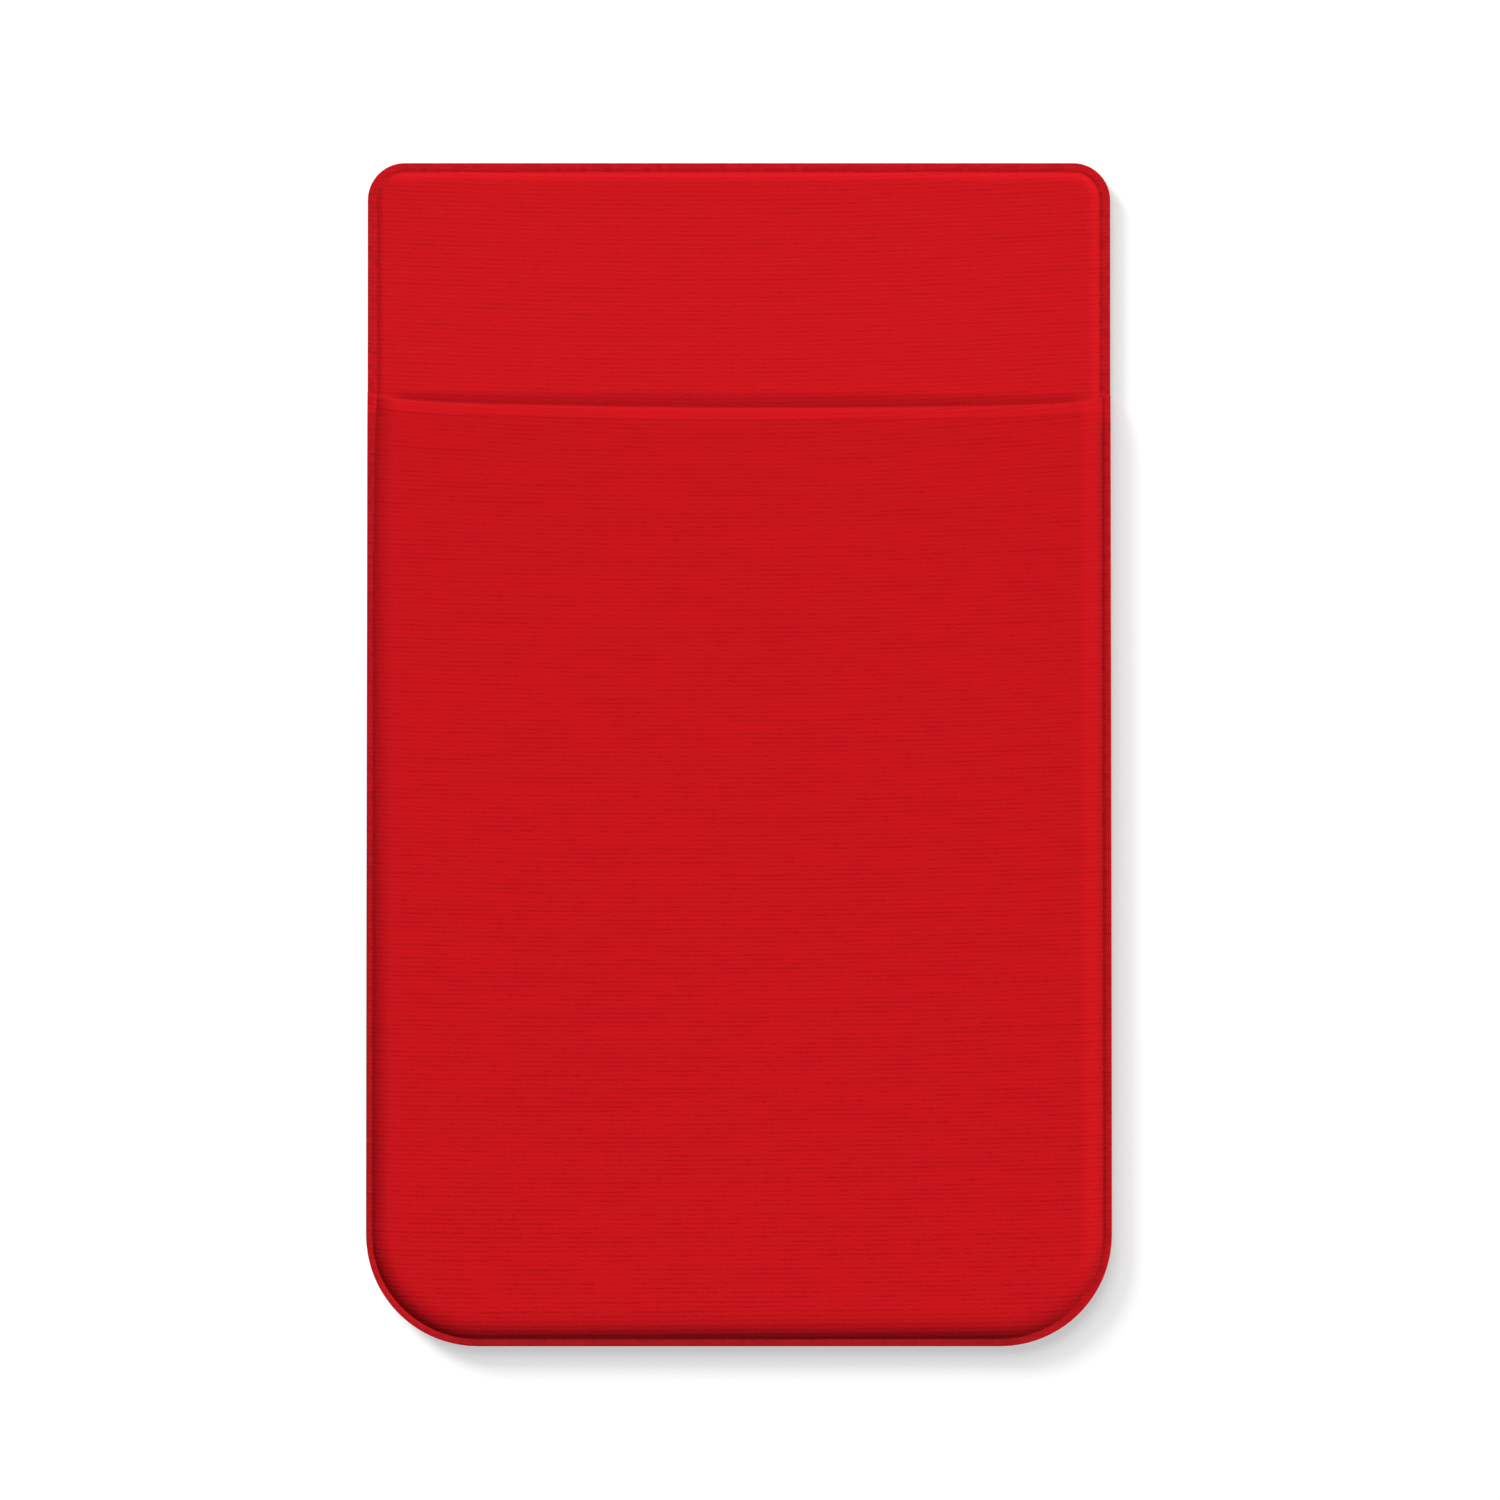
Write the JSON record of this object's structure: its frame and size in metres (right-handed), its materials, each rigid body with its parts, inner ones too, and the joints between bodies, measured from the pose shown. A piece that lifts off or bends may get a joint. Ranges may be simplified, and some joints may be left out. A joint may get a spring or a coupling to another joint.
{
  "type": "stick on phone card holder",
  "caption": "Flat stick-on card pocket of stretch knit with a pressed rim, a folded curved mouth, and an adhesive back under a release liner.",
  "frame": {"origin": "middle of the release liner's underside, on the surface that the holder lies on", "axes": "+Z out of the front of the pocket, +Y along the length towards the pocket's mouth, +X across the width to the right as seen from the front"},
  "size_m": [0.06, 0.0952, 0.0019],
  "materials": {
    "liner_paper": "white siliconised paper, smooth and slightly glossy",
    "adhesive_film": "clear tacky film, greyish",
    "back_knit": "fine red stretch knit laminated to thin foam, matte",
    "pocket_knit": "fine red stretch knit, doubled, matte"
  },
  "bodies": {
    "root": {"release_liner": "liner_paper", "adhesive_sheet": "adhesive_film", "back_panel": "back_knit", "pocket_front": "pocket_knit"}
  },
  "joints": []
}
